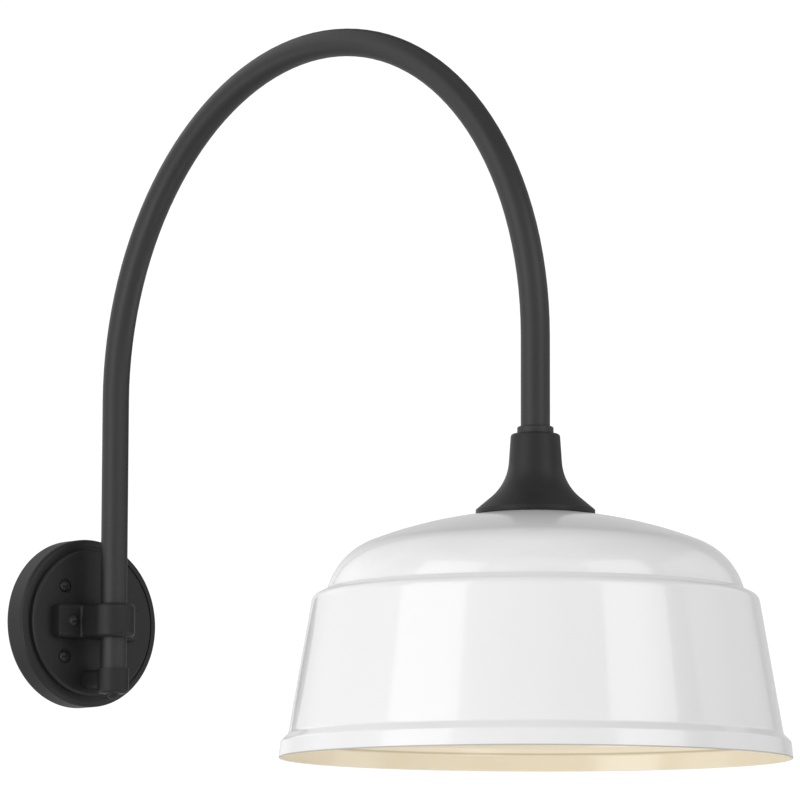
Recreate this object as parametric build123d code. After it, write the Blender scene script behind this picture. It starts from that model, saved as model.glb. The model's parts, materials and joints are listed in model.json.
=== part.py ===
from build123d import *
import math
import os

# Barn light: a round wall plate carries a swivelling gooseneck arm with a bell shade at its end.
# Millimetres. The origin is the centre of the wall fixings on the wall plane, +Z is up, and the
# light reaches away from the wall along -Y. "Out" in a name is a distance from the wall.

# Wall plate: a hollow casting with a raised centre inside a narrow outer band
plate_d = 120.65
plate_band_out = 17.9
plate_face_out = 21.2
plate_wall = 3.0
plate_band_w = 5.0
plate_edge_round = 3.0
groove_w = 2.5
groove_depth = 0.8
bead_round = 2.1
round_share = 0.9
gasket_t = 1.5
gasket_w = 6.0

# Mounting plate inside the wall plate, screwed to the junction box
mount_plate_t = 2.0
mount_plate_gap = 1.5
supply_hole_d = 30.0
box_spacing = 88.9
box_slot_l = 12.0
box_slot_w = 5.0

# Screws and nuts
plate_screw_circle = 71.0
plate_screw_turns = (15, 8, 70, -35)
screw_d = 4.0
screw_head_d = 8.6
screw_head_h = 3.0
screw_slot_w = 1.2
screw_slot_depth = 1.3
screw_recess_d = 10.6
screw_recess_depth = 0.9
nut_flats = 7.0
nut_t = 3.2
hole_clearance = 0.25
thread_clearance = 0.1
earth_screw_z = 40.0
earth_screw_head_d = 7.0
earth_screw_head_h = 2.4
earth_screw_turn = 40

# Arm tube
tube_d = 19.05
tube_wall = 1.6
leg_standoff = 45.7
leg_top = 158.6
arm_reach = 451.3

# Saddle that holds the leg against the wall plate
saddle_h = 24.2
saddle_tab_span = 71.0
saddle_tab_t = 6.9
saddle_wall = 4.5
saddle_round = 3.2
saddle_inner_round = 1.5
saddle_screw_span = 44.0
saddle_screw_turns = (20, -50)
bush_wall = 1.2
swivel_clearance = 0.1

# Foot that carries the bottom of the leg
foot_cup_d = 22.6
foot_top = -34.2
foot_bottom = -52.2
foot_floor_t = 3.4
foot_round = 2.8
foot_boss_z = -41.2
foot_boss_w = 18.0
foot_boss_h = 12.6
foot_boss_round = 2.5
foot_stem_d = 11.0
foot_nut_flats = 16.0
foot_nut_t = 3.6
foot_clearance = 0.3
plug_d = 9.0
plug_h = 4.0
plug_shank_d = 6.0
thrust_washer_t = 1.0
thrust_gap = 0.1

# Wiring held inside the light
cable_d = 4.6
cable_room = 0.9
cable_bend_r = 6.5
cable_entry_bend_r = 5.0
terminal_w = 30.0
terminal_h = 16.0
terminal_z = 20.0
terminal_back_out = 4.0
terminal_pitch = 9.0
terminal_screw_d = 4.0
terminal_screw_h = 1.2
terminal_slot_w = 0.6
terminal_slot_depth = 0.6
terminal_groove_w = 1.6

# Neck that joins the tube to the shade
neck_top = 94.6
neck_top_d = 31.9
neck_top_round = 2.0
neck_taper = 4.0
neck_flare_angle = 40.0
neck_flare_round = 33.0
neck_lip_d = 77.4
neck_lip_h = 3.0
neck_lip_round = 0.9
neck_wall = 3.0
neck_web_t = 9.0
neck_tube_depth = 13.5
lock_ring_wall = 2.2
lock_ring_h = 4.8
lock_ring_round = 1.2
shade_gasket_t = 0.6
shade_gasket_inset = 0.5
shade_gasket_w = 8.0

# Bell shade, spun from sheet
shade_wall = 1.2
shade_rim_d = 330.4
shade_rim_z = -115.6
crown_r = 296.6
crown_angle = 21.2
crown_top = 43.9
knuckle_r = 44.75
crease_z = -6.9
shoulder_d = 287.9
shoulder_z = -11.4
shoulder_round = 6.6
skirt_bottom_d = 318.4
skirt_bottom_z = -100.2
skirt_round = 3.0
band_top_d = 328.2
band_top_z = -104.9
band_round = 1.9
shade_edge_round = 0.5
shade_seat_inset = 1.0

# Threaded nipple and the fastenings inside the shade
nipple_d = 10.0
nipple_wall = 1.5
nipple_grip = 8.0
shade_washer_d = 40.0
shade_washer_t = 1.5
shade_nut_flats = 16.0
shade_nut_t = 5.0

# Lamp holder
holder_d = 41.0
holder_gap = 2.0
cap_h = 13.0
cap_wall = 1.2
cap_round = 6.5
cap_neck_d = 16.0
cap_neck_h = 5.0
holder_h = 36.0
holder_floor_t = 7.0
holder_mouth_d = 34.0
holder_mouth_h = 9.0
holder_round = 1.5
holder_mouth_round = 1.0
spigot_h = 2.5
spigot_clearance = 0.2
shell_wall = 0.5
shell_clearance = 0.4
contact_t = 0.8
contact_w = 7.0
contact_l = 16.0
contact_lift = 1.6
holder_terminal_span = 25.0
holder_terminal_d = 3.0
holder_terminal_head_d = 5.6
holder_terminal_head_h = 1.8
holder_terminal_grip = 6.0

# Bulb
bulb_d = 60.0
bulb_length = 108.0
bulb_shell_d = 26.2
bulb_shell_h = 22.0
bulb_thread_pitch = 3.63
bulb_thread_depth = 0.9
bulb_thread_r = 1.35
bulb_neck_inset = 0.6
bulb_throat_angle = 30.0
bulb_insulator_h = 4.4
bulb_tip_d = 9.4
bulb_tip_h = 1.6
bulb_tip_round = 0.8
bulb_glass_wall = 0.8
bulb_seat_gap = 0.2

# Derived places
plate_r = plate_d / 2
plate_screw_half = plate_screw_circle / 2 / math.sqrt(2)
raised_r = plate_r - plate_band_w - groove_w
plate_inner_out = plate_face_out - plate_wall
tube_r = tube_d / 2
tube_bore_d = tube_d - 2 * tube_wall
bend_r = arm_reach / 2
shade_out = leg_standoff + arm_reach
bush_d = tube_d + 2 * (swivel_clearance + bush_wall)
saddle_half_w = bush_d / 2 + saddle_wall
saddle_tab_out = plate_face_out + saddle_tab_t
foot_floor = foot_bottom + foot_floor_t
leg_bottom = foot_floor + thrust_washer_t + thrust_gap
tube_end = neck_top - neck_tube_depth
cable_bore_d = cable_d + 2 * cable_room
cable_joint_z = foot_boss_z + cable_bend_r + cable_d / 2
crown_centre_z = crown_top - crown_r
neck_lip_r = neck_lip_d / 2
shade_seat_r = neck_lip_r - shade_seat_inset
shade_seat_z = crown_centre_z + math.sqrt(crown_r**2 - shade_seat_r**2)
neck_bottom = shade_seat_z + shade_gasket_t
neck_web_bottom = tube_end - neck_web_t
nipple_top = neck_web_bottom + nipple_grip
washer_bottom = shade_seat_z - shade_wall - shade_washer_t
nut_bottom = washer_bottom - shade_nut_t
cap_top = nut_bottom - holder_gap
holder_top = cap_top - cap_neck_h - cap_h
spigot_top = holder_top + spigot_h
contact_z = holder_top - holder_floor_t
bulb_top = contact_z - contact_t - contact_lift - bulb_seat_gap
nipple_bottom = cap_top - cap_neck_h - cap_wall

# Shared planes and axes
BASE = (Align.CENTER, Align.CENTER, Align.MIN)
PLATE_SIDE = Plane(origin=(0, 0, 0), x_dir=(1, 0, 0), z_dir=(0, 0, -1))
LEG_AXIS = Axis((0, -leg_standoff, 0), (0, 0, 1))
SHADE_AXIS = Axis((0, -shade_out, 0), (0, 0, 1))
BEND_AXIS = Axis((0, -leg_standoff - bend_r, leg_top), (1, 0, 0))


def facing_out(x=0.0, out=0.0, z=0.0):
    """Plane in front of the wall that looks away from it, with its own Y upright."""
    return Plane(origin=(x, -out, z), x_dir=(1, 0, 0), z_dir=(0, -1, 0))


def facing_up(x=0.0, out=0.0, z=0.0):
    """Level plane in front of the wall that looks up."""
    return Plane(origin=(x, -out, z), x_dir=(1, 0, 0), z_dir=(0, 0, 1))


SHADE_SIDE = facing_out(out=shade_out)


def rod(place, diameter, length):
    """Round bar from a place along its normal."""
    return place * Cylinder(diameter / 2, length, align=BASE)


def ring(place, outer_d, inner_d, length):
    """Round sleeve from a place along its normal."""
    return rod(place, outer_d, length) - rod(place, inner_d, length)


def rounded(face, *corners):
    """Face with each (a, b, radius) corner rounded."""
    for a, b, radius in corners:
        face = fillet(face.vertices().sort_by_distance((a, b))[0], radius)
    return face


def outline(*corners):
    """Closed face through (a, b) corners, where a third number rounds that corner."""
    face = make_face(Polyline(*[corner[:2] for corner in corners], close=True))
    return rounded(face, *[corner for corner in corners if len(corner) == 3])


def arc_about(centre, start, end):
    """Arc about a centre from a start point to an end point, the short way round."""
    first = math.degrees(math.atan2(start.Y - centre.Y, start.X - centre.X))
    last = math.degrees(math.atan2(end.Y - centre.Y, end.X - centre.X))
    return CenterArc(centre, (start - centre).length, first, last - first)


def group(parts):
    """Several separate solids as one node."""
    return Compound([solid for part in parts for solid in part.solids()])


def round_head_screw(place, diameter, length, head_d, head_h, turn=0.0):
    """Slotted round-head screw with its seat at a place and its shank running back from it."""
    dome = TangentArc((0, head_h), (head_d / 2, 0), tangent=(1, 0))
    shank = Polyline(
        (head_d / 2, 0), (diameter / 2, 0), (diameter / 2, -length), (0, -length), (0, head_h)
    )
    body = revolve(Plane.XZ * make_face([dome, shank]), Axis.Z)
    slot = Pos(0, 0, head_h - screw_slot_depth) * Box(head_d, screw_slot_w, head_h, align=BASE)
    return place * Rot(0, 0, turn) * (body - slot)


def hex_nut(place, flats, thickness, bore_d):
    """Hexagon nut from a place along its normal."""
    hexagon = RegularPolygon(flats / 2, 6, major_radius=False) - Circle(bore_d / 2)
    return extrude(place * hexagon, thickness)


def square_corners(half):
    """The four corners of a square about the plate's centre, as x and z."""
    return [(x, z) for x in (-half, half) for z in (-half, half)]


def pair(half):
    """Two places either side of the middle."""
    return (-half, half)


# Wall plate group
def make_wall_gasket():
    """Soft ring that seals the wall plate's rim to the wall."""
    return ring(facing_out(), plate_d, plate_d - 2 * gasket_w, gasket_t)


def make_mounting_plate():
    """Steel disc that fixes to the junction box and takes the plate screws."""
    disc_d = plate_d - 2 * gasket_w - 2 * mount_plate_gap
    disc = ring(facing_out(), disc_d, supply_hole_d, mount_plate_t)
    for x in pair(box_spacing / 2):
        disc -= extrude(facing_out(x) * SlotOverall(box_slot_l, box_slot_w), mount_plate_t)
    for x, z in square_corners(plate_screw_half):
        disc -= rod(facing_out(x, 0, z), screw_d + 2 * thread_clearance, mount_plate_t)
    earth_hole_d = screw_d + 2 * thread_clearance
    return disc - rod(facing_out(0, 0, earth_screw_z), earth_hole_d, mount_plate_t)


def make_backplate():
    """Hollow wall plate with its groove, bead, screw recesses and holes."""
    band_ceiling = plate_band_out - groove_depth - plate_wall
    section = outline(
        (0, plate_face_out),
        (raised_r, plate_face_out, bead_round),
        (raised_r, plate_band_out - groove_depth),
        (raised_r + groove_w, plate_band_out - groove_depth),
        (raised_r + groove_w, plate_band_out),
        (plate_r, plate_band_out, min(plate_edge_round, round_share * plate_band_w)),
        (plate_r, gasket_t),
        (plate_r - plate_wall, gasket_t),
        (plate_r - plate_wall, band_ceiling),
        (raised_r - plate_wall, band_ceiling),
        (raised_r - plate_wall, plate_inner_out),
        (0, plate_inner_out),
    )
    plate = revolve(PLATE_SIDE * section, Axis.Y)
    for x, z in square_corners(plate_screw_half):
        plate -= rod(facing_out(x, 0, z), screw_d + 2 * hole_clearance, plate_face_out)
        recess_out = plate_face_out - screw_recess_depth
        plate -= rod(facing_out(x, recess_out, z), screw_recess_d, screw_recess_depth)
    for x in pair(saddle_screw_span / 2):
        plate -= rod(facing_out(x), screw_d + 2 * hole_clearance, plate_face_out)
    stem_hole_d = foot_stem_d + 2 * hole_clearance
    return plate - rod(facing_out(0, 0, foot_boss_z), stem_hole_d, plate_face_out)


def make_plate_screws():
    """Four round-head screws from the wall plate into the mounting plate."""
    seat = plate_face_out - screw_recess_depth
    return group(
        round_head_screw(facing_out(x, seat, z), screw_d, seat, screw_head_d, screw_head_h, turn)
        for turn, (x, z) in zip(plate_screw_turns, square_corners(plate_screw_half))
    )


def make_earth_screw():
    """Green earthing screw in the mounting plate."""
    place = facing_out(0, mount_plate_t, earth_screw_z)
    return round_head_screw(
        place, screw_d, mount_plate_t, earth_screw_head_d, earth_screw_head_h, earth_screw_turn
    )


# Saddle
def make_saddle():
    """Cast saddle with two screw tabs and a round wrap about the leg."""
    tab = Pos(0, -(plate_face_out + saddle_tab_t / 2)) * Rectangle(saddle_tab_span, saddle_tab_t)
    reach = leg_standoff - plate_face_out
    wrap = Pos(0, -(plate_face_out + reach / 2)) * Rectangle(2 * saddle_half_w, reach)
    wrap += Pos(0, -leg_standoff) * Circle(saddle_half_w)
    inner_corners = [(x, -saddle_tab_out, saddle_inner_round) for x in pair(saddle_half_w)]
    body = extrude(rounded(tab + wrap, *inner_corners), saddle_h / 2, both=True)
    # Every top and bottom edge is rounded apart from those against the wall plate
    levels = body.edges().filter_by(Plane.XY).group_by(Axis.Y)[:-1]
    body = fillet([edge for level in levels for edge in level], saddle_round)
    body -= rod(facing_up(0, leg_standoff, -saddle_h), bush_d, 2 * saddle_h)
    for x in pair(saddle_screw_span / 2):
        body -= rod(facing_out(x, plate_face_out), screw_d + 2 * hole_clearance, saddle_tab_t)
    return body


def make_saddle_bush():
    """Plain sleeve in the saddle that the leg turns in."""
    place = facing_up(0, leg_standoff, -saddle_h / 2)
    return ring(place, bush_d, tube_d + 2 * swivel_clearance, saddle_h)


def make_saddle_screws():
    """Two round-head screws through the saddle's tabs."""
    length = saddle_tab_out - plate_inner_out + nut_t
    return group(
        round_head_screw(facing_out(x, saddle_tab_out), screw_d, length, screw_head_d, screw_head_h, turn)
        for turn, x in zip(saddle_screw_turns, pair(saddle_screw_span / 2))
    )


def make_saddle_nuts():
    """Two nuts behind the wall plate's face."""
    bore = screw_d + 2 * thread_clearance
    return group(
        hex_nut(facing_out(x, plate_inner_out - nut_t), nut_flats, nut_t, bore)
        for x in pair(saddle_screw_span / 2)
    )


# Foot
def make_foot():
    """Cast foot: a cup for the leg, a boss to the wall plate and a threaded hollow stem."""
    cup = rod(facing_up(0, leg_standoff, foot_bottom), foot_cup_d, foot_top - foot_bottom)
    cup = fillet(cup.faces().sort_by(Axis.Z)[0].edges(), min(foot_round, round_share * foot_floor_t))
    boss = RectangleRounded(foot_boss_w, foot_boss_h, foot_boss_round)
    foot = cup + extrude(facing_out(0, plate_face_out, foot_boss_z) * boss, leg_standoff - plate_face_out)
    stem_back = plate_inner_out - foot_nut_t
    foot += rod(facing_out(0, stem_back, foot_boss_z), foot_stem_d, leg_standoff - stem_back)
    socket_d = tube_d + 2 * foot_clearance
    foot -= rod(facing_up(0, leg_standoff, foot_floor), socket_d, foot_top - foot_floor)
    foot -= rod(facing_out(0, stem_back, foot_boss_z), cable_bore_d, leg_standoff - stem_back)
    plug_hole_d = plug_shank_d + 2 * thread_clearance
    return foot - rod(facing_up(0, leg_standoff, foot_bottom), plug_hole_d, foot_floor_t)


def make_foot_nut():
    """Thin nut that draws the foot's stem against the wall plate."""
    bore = foot_stem_d + 2 * thread_clearance
    place = facing_out(0, plate_inner_out - foot_nut_t, foot_boss_z)
    return hex_nut(place, foot_nut_flats, foot_nut_t, bore)


def make_foot_plug():
    """Domed screw plug that closes the foot's core hole."""
    dome = TangentArc((0, -plug_h), (plug_d / 2, 0), tangent=(1, 0))
    shank_r = plug_shank_d / 2
    shank = Polyline(
        (plug_d / 2, 0), (shank_r, 0), (shank_r, foot_floor_t), (0, foot_floor_t), (0, -plug_h)
    )
    side = facing_out(0, leg_standoff, foot_bottom)
    return revolve(side * make_face([dome, shank]), LEG_AXIS)


def make_thrust_washer():
    """Flat washer in the foot that the end of the leg turns on."""
    return ring(facing_up(0, leg_standoff, foot_floor), tube_d, tube_bore_d, thrust_washer_t)


# Arm
def bent_bar(section, start, end):
    """Section carried up the leg, round the bend and down to the end of the arm."""
    leg = extrude(facing_up(0, leg_standoff, start) * section, leg_top - start)
    bend = revolve(facing_up(0, leg_standoff, leg_top) * section, BEND_AXIS, 180)
    drop = extrude(facing_up(0, shade_out, end) * section, leg_top - end)
    return leg + bend + drop


def make_arm_tube():
    """Gooseneck tube with a window at its foot for the cable."""
    tube = bent_bar(Circle(tube_r) - Circle(tube_bore_d / 2), leg_bottom, tube_end)
    window_depth = tube_r - cable_room
    window = Box(tube_d, window_depth, cable_bore_d, align=(Align.CENTER, Align.MIN, Align.CENTER))
    return tube - Pos(0, -leg_standoff + cable_room, foot_boss_z) * window


def make_arm_cable():
    """Cable that runs inside the arm from the swivel axis to the lamp holder."""
    return bent_bar(Circle(cable_d / 2), cable_joint_z, spigot_top)


def make_plate_cable():
    """Cable from the terminal block, through the foot, to the swivel axis."""
    run_out = plate_inner_out - foot_nut_t - cable_entry_bend_r
    path = FilletPolyline(
        (0, -run_out, terminal_z - terminal_h / 2),
        (0, -run_out, foot_boss_z),
        (0, -leg_standoff, foot_boss_z),
        (0, -leg_standoff, cable_joint_z),
        radius=[cable_entry_bend_r, cable_bend_r],
    )
    return sweep(Plane(path @ 0, z_dir=path % 0) * Circle(cable_d / 2), path)


def make_terminal_block():
    """Three-way terminal block inside the wall plate."""
    depth = plate_inner_out - terminal_back_out
    block = Box(terminal_w, terminal_h, depth, align=BASE)
    for x in pair(terminal_pitch / 2):
        groove = Box(terminal_groove_w, terminal_h, terminal_groove_w, align=BASE)
        block -= Pos(x, 0, 0) * groove
    screw_hole = Cylinder(terminal_screw_d / 2 + hole_clearance, terminal_screw_h, align=BASE)
    for x in (-terminal_pitch, 0, terminal_pitch):
        block -= Pos(x, 0, 0) * screw_hole
    return facing_out(0, terminal_back_out, terminal_z) * block


def make_terminal_screws():
    """Three slotted clamping screws, sunk in the terminal block."""
    screw = Cylinder(terminal_screw_d / 2, terminal_screw_h, align=BASE)
    screw -= Box(terminal_screw_d, terminal_slot_w, terminal_slot_depth, align=BASE)
    return group(
        facing_out(x, terminal_back_out, terminal_z) * screw for x in (-terminal_pitch, 0, terminal_pitch)
    )


# Neck
def make_lock_ring():
    """Threaded ring on the tube that locks the neck."""
    body = ring(
        facing_up(0, shade_out, neck_top),
        tube_d + 2 * (thread_clearance + lock_ring_wall),
        tube_d + 2 * thread_clearance,
        lock_ring_h,
    )
    top_edges = body.faces().sort_by(Axis.Z)[-1].edges()
    return fillet(top_edges.sort_by(SortBy.RADIUS)[-1], lock_ring_round)


def make_neck():
    """Hollow flared neck, bored for the tube above and threaded for the nipple below."""
    slope = (math.sin(math.radians(neck_taper)), -math.cos(math.radians(neck_taper)))
    taper = math.tan(math.radians(neck_taper))
    flare = math.tan(math.radians(neck_flare_angle))
    top_r = neck_top_d / 2
    lip_top = neck_bottom + neck_lip_h
    # The waist is where the line of the taper meets the line of the flare
    waist_rise = flare * (neck_lip_r - top_r - taper * neck_top)
    waist_z = (lip_top + waist_rise) / (1 - flare * taper)
    section = outline(
        (0, neck_bottom),
        (0, neck_top),
        (top_r, neck_top, neck_top_round),
        (top_r + taper * (neck_top - waist_z), waist_z, neck_flare_round),
        (neck_lip_r, lip_top, neck_lip_round),
        (neck_lip_r, neck_bottom),
    )
    neck = revolve(SHADE_SIDE * section, SHADE_AXIS)
    hollow_r = top_r - neck_wall
    mouth_r = neck_lip_r - neck_lip_round - neck_wall
    hollow = make_face(
        [
            Polyline((0, neck_bottom), (0, neck_web_bottom), (hollow_r, neck_web_bottom)),
            TangentArc((hollow_r, neck_web_bottom), (mouth_r, neck_bottom), tangent=slope),
            Line((mouth_r, neck_bottom), (0, neck_bottom)),
        ]
    )
    neck -= revolve(SHADE_SIDE * hollow, SHADE_AXIS)
    neck -= rod(facing_up(0, shade_out, tube_end), tube_d + 2 * thread_clearance, neck_tube_depth)
    nipple_hole_d = nipple_d + 2 * thread_clearance
    return neck - rod(facing_up(0, shade_out, neck_web_bottom), nipple_hole_d, neck_web_t)


def make_shade_gasket():
    """Flat seal between the neck and the shade."""
    place = facing_up(0, shade_out, shade_seat_z)
    outer_d = neck_lip_d - 2 * shade_gasket_inset
    return ring(place, outer_d, outer_d - 2 * shade_gasket_w, shade_gasket_t)


# Shade
def inward(start, end):
    """Unit normal of one run of the shade's outline, towards the inside."""
    run = (end - start).normalized()
    return Vector(run.Y, -run.X)


def shade_curve(inset):
    """Edges of the shade's outline from seat to rim, moved inwards by an inset, and its two ends."""
    lean = Vector(math.sin(math.radians(crown_angle)), math.cos(math.radians(crown_angle)))
    crown_centre = Vector(0, crown_centre_z)
    crown_end = crown_centre + lean * (crown_r - inset)
    knuckle_centre = crown_centre + lean * (crown_r - knuckle_r)
    seat_z = shade_seat_z - inset
    seat_end = Vector(math.sqrt((crown_r - inset) ** 2 - (seat_z - crown_centre_z) ** 2), seat_z)
    crease_rise = crease_z - knuckle_centre.Y
    crease = knuckle_centre + Vector(math.sqrt(knuckle_r**2 - crease_rise**2), crease_rise)
    corners = [
        crease,
        Vector(shoulder_d / 2, shoulder_z),
        Vector(skirt_bottom_d / 2, skirt_bottom_z),
        Vector(band_top_d / 2, band_top_z),
        Vector(shade_rim_d / 2, shade_rim_z),
    ]
    normals = [inward(start, end) for start, end in zip(corners, corners[1:])]
    # The moved crease is where the moved shoulder line leaves the moved knuckle circle
    shoulder_run = (corners[1] - crease).normalized()
    from_centre = crease + normals[0] * inset - knuckle_centre
    lead = from_centre.dot(shoulder_run)
    along = math.sqrt(lead**2 - from_centre.dot(from_centre) + (knuckle_r - inset) ** 2) - lead
    moved = [knuckle_centre + from_centre + shoulder_run * along]
    for corner, before, after in zip(corners[1:], normals, normals[1:]):
        moved.append(corner + (before + after) * (inset / (1 + before.dot(after))))
    moved.append(corners[-1] + normals[-1] * inset)
    rounds = [shoulder_round - inset, skirt_round + inset, band_round - inset]
    hole_edge = Vector(nipple_d / 2 + hole_clearance, seat_z)
    edges = [
        Line(hole_edge, seat_end),
        arc_about(crown_centre, seat_end, crown_end),
        arc_about(knuckle_centre, crown_end, moved[0]),
        FilletPolyline(*moved, radius=rounds),
    ]
    return edges, hole_edge, moved[-1]


def make_shade():
    """Spun shade of even wall, open below, with a hole for the nipple."""
    outside, outer_hole, outer_rim = shade_curve(0)
    inside, inner_hole, inner_rim = shade_curve(shade_wall)
    ends = [Line(outer_hole, inner_hole), Line(outer_rim, inner_rim)]
    section = rounded(
        make_face(outside + inside + ends),
        (outer_rim.X, outer_rim.Y, shade_edge_round),
        (inner_rim.X, inner_rim.Y, shade_edge_round),
    )
    return revolve(SHADE_SIDE * section, SHADE_AXIS)


# Fastenings inside the shade
def make_nipple():
    """Threaded hollow nipple from the neck to the lamp holder."""
    place = facing_up(0, shade_out, nipple_bottom)
    return ring(place, nipple_d, nipple_d - 2 * nipple_wall, nipple_top - nipple_bottom)


def make_shade_washer():
    """Wide washer that spreads the nut's load under the shade."""
    place = facing_up(0, shade_out, washer_bottom)
    return ring(place, shade_washer_d, nipple_d + 2 * hole_clearance, shade_washer_t)


def make_shade_nut():
    """Nut that clamps the shade to the neck."""
    place = facing_up(0, shade_out, nut_bottom)
    return hex_nut(place, shade_nut_flats, shade_nut_t, nipple_d + 2 * thread_clearance)


# Lamp holder
def make_holder_cap():
    """Metal cap of the lamp holder, threaded on the nipple."""
    cap_base = cap_top - cap_neck_h
    cap = rod(facing_up(0, shade_out, holder_top), holder_d, cap_h)
    cap = fillet(cap.faces().sort_by(Axis.Z)[-1].edges(), cap_round)
    cap += rod(facing_up(0, shade_out, cap_base - cap_wall), cap_neck_d, cap_neck_h + cap_wall)
    inner = rod(facing_up(0, shade_out, holder_top), holder_d - 2 * cap_wall, cap_h - cap_wall)
    cap -= fillet(inner.faces().sort_by(Axis.Z)[-1].edges(), cap_round - cap_wall)
    nipple_hole_d = nipple_d + 2 * thread_clearance
    return cap - rod(facing_up(0, shade_out, holder_top), nipple_hole_d, cap_top - holder_top)


def make_holder_body():
    """Porcelain body with a spigot inside the cap and a deep socket for the screw shell."""
    socket_d = bulb_shell_d + 2 * (shell_clearance + shell_wall)
    spigot_r = holder_d / 2 - cap_wall - spigot_clearance
    bottom = holder_top - holder_h
    section = outline(
        (0, spigot_top),
        (spigot_r, spigot_top),
        (spigot_r, holder_top),
        (holder_d / 2, holder_top),
        (holder_d / 2, bottom + holder_mouth_h, holder_round),
        (holder_mouth_d / 2, bottom + holder_mouth_h, holder_round),
        (holder_mouth_d / 2, bottom, holder_mouth_round),
        (socket_d / 2, bottom),
        (socket_d / 2, contact_z),
        (0, contact_z),
    )
    body = revolve(SHADE_SIDE * section, SHADE_AXIS)
    for x in pair(holder_terminal_span / 2):
        hole = facing_up(x, shade_out, spigot_top - holder_terminal_grip)
        body -= rod(hole, holder_terminal_d + 2 * thread_clearance, holder_terminal_grip)
    return body


def make_holder_shell():
    """Screw shell lining the porcelain socket."""
    inner_d = bulb_shell_d + 2 * shell_clearance
    bottom = holder_top - holder_h
    length = contact_z - bottom
    return ring(facing_up(0, shade_out, bottom), inner_d + 2 * shell_wall, inner_d, length)


def make_holder_contact():
    """Sprung centre contact at the bottom of the socket."""
    foot = Box(contact_l, contact_w, contact_t, align=BASE)
    raised = Pos(0, 0, -contact_lift) * Cylinder(contact_w / 2, contact_lift, align=BASE)
    return facing_up(0, shade_out, contact_z - contact_t) * (foot + raised)


def make_holder_terminals():
    """Two terminal screws on the porcelain body, under the cap."""
    return group(
        round_head_screw(
            facing_up(x, shade_out, spigot_top),
            holder_terminal_d,
            holder_terminal_grip,
            holder_terminal_head_d,
            holder_terminal_head_h,
        )
        for x in pair(holder_terminal_span / 2)
    )


# Bulb
def make_bulb_glass():
    """Frosted pear-shaped envelope, hollow, seated in the screw base."""
    shell_bottom = bulb_top - bulb_tip_h - bulb_insulator_h - bulb_shell_h
    centre = Vector(0, bulb_top - bulb_length + bulb_d / 2)
    lean = Vector(math.cos(math.radians(bulb_throat_angle)), math.sin(math.radians(bulb_throat_angle)))
    edges = []
    ends = []
    for inset in (0, bulb_glass_wall):
        radius = bulb_d / 2 - inset
        bottom = centre - Vector(0, radius)
        throat = centre + lean * radius
        rim = Vector(bulb_shell_d / 2 - bulb_neck_inset - inset, shell_bottom)
        edges += [arc_about(centre, bottom, throat), TangentArc(throat, rim, tangent=(-lean.Y, lean.X))]
        ends += [bottom, rim]
    edges += [Line(ends[0], ends[2]), Line(ends[1], ends[3])]
    return revolve(SHADE_SIDE * make_face(edges), SHADE_AXIS)


def make_bulb_base():
    """Screw base whose thread is drawn as rounded rings."""
    top = bulb_top - bulb_tip_h - bulb_insulator_h
    base = rod(facing_up(0, shade_out, top - bulb_shell_h), bulb_shell_d, bulb_shell_h)
    groove = Torus(bulb_shell_d / 2 - bulb_thread_depth + bulb_thread_r, bulb_thread_r)
    for turn in range(int(bulb_shell_h // bulb_thread_pitch)):
        groove_z = top - (turn + 1 / 2) * bulb_thread_pitch
        base -= facing_up(0, shade_out, groove_z) * groove
    return base


def make_bulb_insulator():
    """Dark glass cone between the screw base and the tip."""
    top = bulb_top - bulb_tip_h
    cone = Cone(bulb_shell_d / 2 - bulb_thread_depth, bulb_tip_d / 2, bulb_insulator_h, align=BASE)
    return facing_up(0, shade_out, top - bulb_insulator_h) * cone


def make_bulb_tip():
    """Centre contact of the bulb."""
    tip = rod(facing_up(0, shade_out, bulb_top - bulb_tip_h), bulb_tip_d, bulb_tip_h)
    return fillet(tip.faces().sort_by(Axis.Z)[-1].edges(), bulb_tip_round)


NODES = {
    "wall_gasket": make_wall_gasket,
    "mounting_plate": make_mounting_plate,
    "backplate": make_backplate,
    "plate_screws": make_plate_screws,
    "earth_screw": make_earth_screw,
    "terminal_block": make_terminal_block,
    "terminal_screws": make_terminal_screws,
    "plate_cable": make_plate_cable,
    "saddle": make_saddle,
    "saddle_bush": make_saddle_bush,
    "saddle_screws": make_saddle_screws,
    "saddle_nuts": make_saddle_nuts,
    "foot": make_foot,
    "foot_nut": make_foot_nut,
    "foot_plug": make_foot_plug,
    "thrust_washer": make_thrust_washer,
    "arm_tube": make_arm_tube,
    "arm_cable": make_arm_cable,
    "lock_ring": make_lock_ring,
    "neck": make_neck,
    "shade_gasket": make_shade_gasket,
    "shade": make_shade,
    "nipple": make_nipple,
    "shade_washer": make_shade_washer,
    "shade_nut": make_shade_nut,
    "holder_cap": make_holder_cap,
    "holder_body": make_holder_body,
    "holder_shell": make_holder_shell,
    "holder_contact": make_holder_contact,
    "holder_terminals": make_holder_terminals,
    "bulb_glass": make_bulb_glass,
    "bulb_base": make_bulb_base,
    "bulb_insulator": make_bulb_insulator,
    "bulb_tip": make_bulb_tip,
}

os.makedirs("parts", exist_ok=True)
for name, make in NODES.items():
    export_step(make(), os.path.join("parts", name + ".step"))
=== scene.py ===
"""Looks of a wall-hung barn light: finishes, the spun shade, the bulb's screw base, studio and camera.

Metres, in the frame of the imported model: the wall plane is y = 0, +Z is up, and the light reaches along -Y.
"""

import json
import logging
import math
from dataclasses import dataclass, field
from enum import Enum, IntEnum
from typing import Any, ClassVar, Iterable, Union

import bmesh
import bpy
from mathutils import Matrix, Vector


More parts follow.
